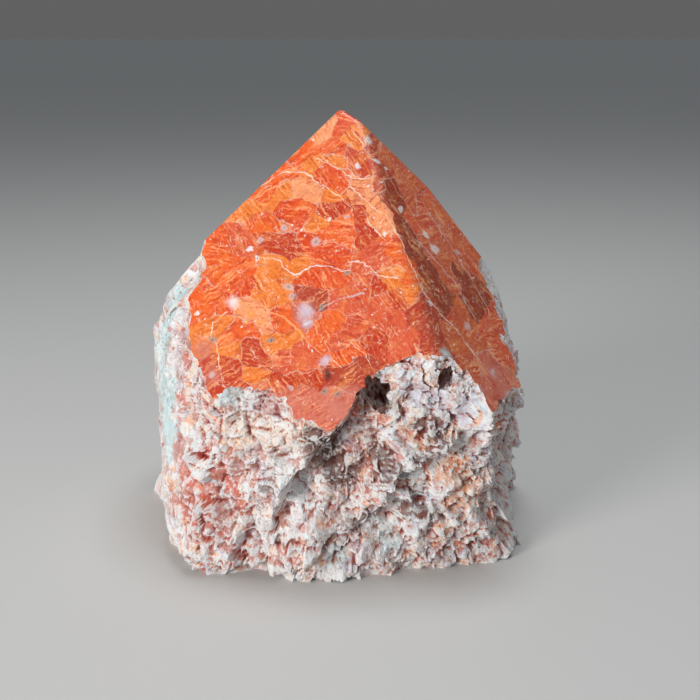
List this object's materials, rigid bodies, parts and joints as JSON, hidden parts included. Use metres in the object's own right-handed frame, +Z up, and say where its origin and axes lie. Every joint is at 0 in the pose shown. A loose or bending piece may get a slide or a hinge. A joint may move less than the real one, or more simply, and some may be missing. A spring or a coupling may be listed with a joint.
{
  "type": "sunstone point",
  "caption": "Rough block of orange and white sunstone feldspar, broken on all sides, sawn flat underneath and ground to a polished point on top.",
  "frame": {"origin": "on the sawn base, under the middle of the stone's width and depth", "axes": "+Z up through the point, the broken front faces -Y, +X to the right seen from the front"},
  "size_m": [0.0896, 0.0742, 0.0949],
  "materials": {
    "sunstone": "orange feldspar with white veins: polished on the faces of the point, broken and matt below them"
  },
  "bodies": {
    "root": {"sunstone_point": "sunstone"}
  },
  "joints": []
}
